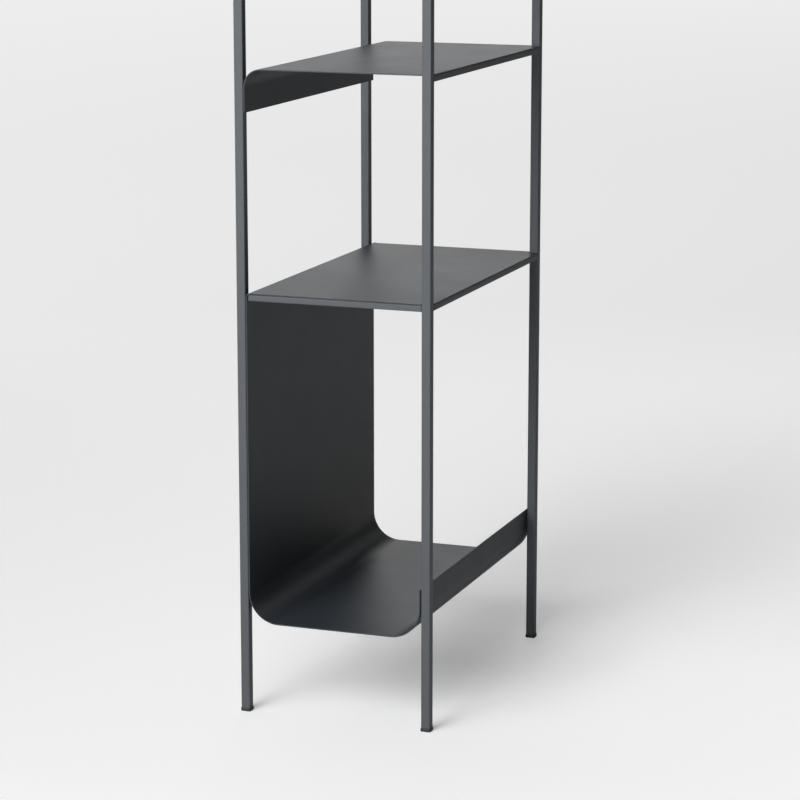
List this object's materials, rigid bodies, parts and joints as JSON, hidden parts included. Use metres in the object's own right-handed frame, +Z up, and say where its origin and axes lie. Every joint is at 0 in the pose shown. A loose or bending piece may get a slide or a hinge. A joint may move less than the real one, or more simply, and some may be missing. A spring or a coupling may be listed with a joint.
{
  "type": "shelving unit",
  "caption": "Open metal shelving unit: slim square posts, thin folded shelves with rounded turned-down backs, and a deep bottom tray with a full-height back and a low front lip.",
  "frame": {"origin": "on the floor, at the middle of the four feet", "axes": "+X to the right seen from the front, -Y is the front, where the tray's lip and the front rails are, +Z up"},
  "size_m": [0.4802, 0.275, 1.19],
  "materials": {
    "post_coat": "matte fine-grain powder coat on steel tube",
    "sheet_coat": "matte fine-grain powder coat on folded steel sheet",
    "rail_coat": "matte fine-grain powder coat on steel tube and plate",
    "plug_plastic": "matte moulded plastic"
  },
  "bodies": {
    "root": {"post_front_left": "post_coat", "post_rear_left": "post_coat", "post_front_right": "post_coat", "post_rear_right": "post_coat", "glide_front_left": "plug_plastic", "glide_rear_left": "plug_plastic", "glide_front_right": "plug_plastic", "glide_rear_right": "plug_plastic", "cap_front_left": "plug_plastic", "cap_rear_left": "plug_plastic", "cap_front_right": "plug_plastic", "cap_rear_right": "plug_plastic", "tray_ribbon": "sheet_coat", "shelf_upper": "sheet_coat", "shelf_top": "sheet_coat", "end_rail_left": "rail_coat", "end_rail_right": "rail_coat", "front_rail_mid": "rail_coat", "front_rail_upper": "rail_coat", "front_rail_top": "rail_coat", "pads_ribbon": "rail_coat", "pads_upper": "rail_coat", "pads_top": "rail_coat"}
  },
  "joints": []
}
